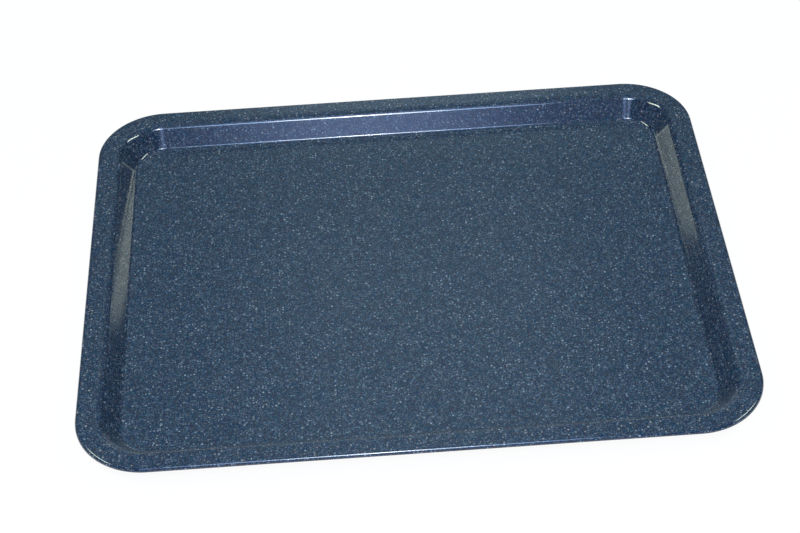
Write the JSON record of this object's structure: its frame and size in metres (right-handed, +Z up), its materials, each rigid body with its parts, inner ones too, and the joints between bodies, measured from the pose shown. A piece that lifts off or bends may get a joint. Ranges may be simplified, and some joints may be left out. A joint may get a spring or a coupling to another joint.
{
  "type": "baking tray",
  "caption": "Shallow rectangular oven baking tray with rounded corners, sloping walls, a flat rim and a turned-down lip, pressed from sheet steel and enamelled dark blue with pale speckles.",
  "frame": {"origin": "middle of the flat underside, on the surface that the tray stands on", "axes": "+X along the long side, +Y from front to back along the short side, +Z up out of the tray"},
  "size_m": [0.445, 0.36, 0.0164],
  "materials": {
    "speckled_enamel": "glossy vitreous enamel, dark blue with fine pale speckles, on every face"
  },
  "bodies": {
    "root": {"baking_tray": "speckled_enamel"}
  },
  "joints": []
}
